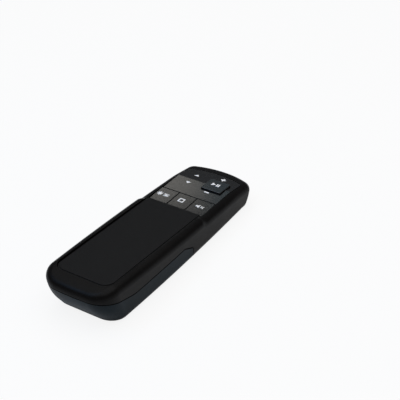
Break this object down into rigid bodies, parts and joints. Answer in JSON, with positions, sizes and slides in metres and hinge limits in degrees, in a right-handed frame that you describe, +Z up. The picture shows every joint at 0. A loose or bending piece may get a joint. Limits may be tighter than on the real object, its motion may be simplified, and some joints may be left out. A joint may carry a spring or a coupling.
{
  "type": "presentation clicker",
  "caption": "Wedge-shaped hand-held wireless slide clicker with a four-way rocker, a raised play key, a key row, a palm panel, a sliding battery cover and a laser.",
  "frame": {"origin": "middle of the outline on the plane that the underside rests on", "axes": "+X to the right as seen from above with the nose away, +Y towards the nose, +Z up"},
  "size_m": [0.0432, 0.1348, 0.0231],
  "materials": {
    "soft_black": "soft-touch matte",
    "case_black": "fine matte",
    "panel_grey": "fine texture",
    "key_black": "satin",
    "frame_grey": "moulded",
    "plunger_white": "moulded",
    "switch_metal": "stamped",
    "board_green": "solder mask",
    "chip_black": "moulded",
    "screw_steel": "plated",
    "barrel_brass": "turned",
    "clear_window": "clear",
    "lead_red": "insulation",
    "cell_wrap": "shrink wrap",
    "contact_nickel": "nickel plated"
  },
  "bodies": {
    "housing": {"upper_housing": "soft_black", "lower_housing": "case_black", "palm_panel": "panel_grey", "key_frame": "frame_grey", "rocker_plungers": "plunger_white", "switch_bodies": "switch_metal", "circuit_board": "board_green", "main_chip": "chip_black", "radio_chip": "chip_black", "crystal_can": "switch_metal", "board_screws": "screw_steel", "laser_barrel": "barrel_brass", "laser_lens": "clear_window", "laser_diode": "barrel_brass", "laser_window": "clear_window", "laser_leads": "lead_red", "left_cell": "cell_wrap", "right_cell": "cell_wrap", "bridge_contact": "contact_nickel", "positive_contact": "contact_nickel", "negative_contact": "contact_nickel", "contact_springs": "contact_nickel", "case_screws": "screw_steel", "receiver_body": "case_black", "receiver_plug": "contact_nickel"},
    "cover": {"battery_cover": "case_black"},
    "cradle": {"rocker_cradle": "frame_grey"},
    "rocker": {"rocker_plate": "key_black"},
    "play": {"play_key": "key_black", "play_key_plunger": "plunger_white"},
    "pointer": {"pointer_key": "key_black", "pointer_key_plunger": "plunger_white"},
    "stop": {"stop_key": "key_black", "stop_key_plunger": "plunger_white"},
    "mute": {"mute_key": "key_black", "mute_key_plunger": "plunger_white"}
  },
  "joints": [
    {"name": "battery_cover_slide", "type": "slide", "parent": "housing", "child": "cover", "axis": [0, -1, 0], "range_m": [0, 0.072]},
    {"name": "rocker_tip", "type": "hinge", "parent": "housing", "child": "cradle", "pos_m": [-0.003, 0.04666, 0.01274], "axis": [1, 0, 0], "range_deg": [-1.5, 1.5], "stiffness_Nm_per_rad": 0.6},
    {"name": "rocker_lean", "type": "hinge", "parent": "cradle", "child": "rocker", "pos_m": [-0.003, 0.04666, 0.01274], "axis": [0, 0.9978, -0.0663], "range_deg": [-1.3, 1.3], "stiffness_Nm_per_rad": 0.6},
    {"name": "play_press", "type": "slide", "parent": "housing", "child": "play", "axis": [0, -0.0663, -0.9978], "range_m": [0, 0.0004], "stiffness_N_per_m": 450},
    {"name": "pointer_press", "type": "slide", "parent": "housing", "child": "pointer", "axis": [0, -0.0663, -0.9978], "range_m": [0, 0.0004], "stiffness_N_per_m": 350},
    {"name": "stop_press", "type": "slide", "parent": "housing", "child": "stop", "axis": [0, -0.0663, -0.9978], "range_m": [0, 0.0004], "stiffness_N_per_m": 350},
    {"name": "mute_press", "type": "slide", "parent": "housing", "child": "mute", "axis": [0, -0.0663, -0.9978], "range_m": [0, 0.0004], "stiffness_N_per_m": 350}
  ]
}
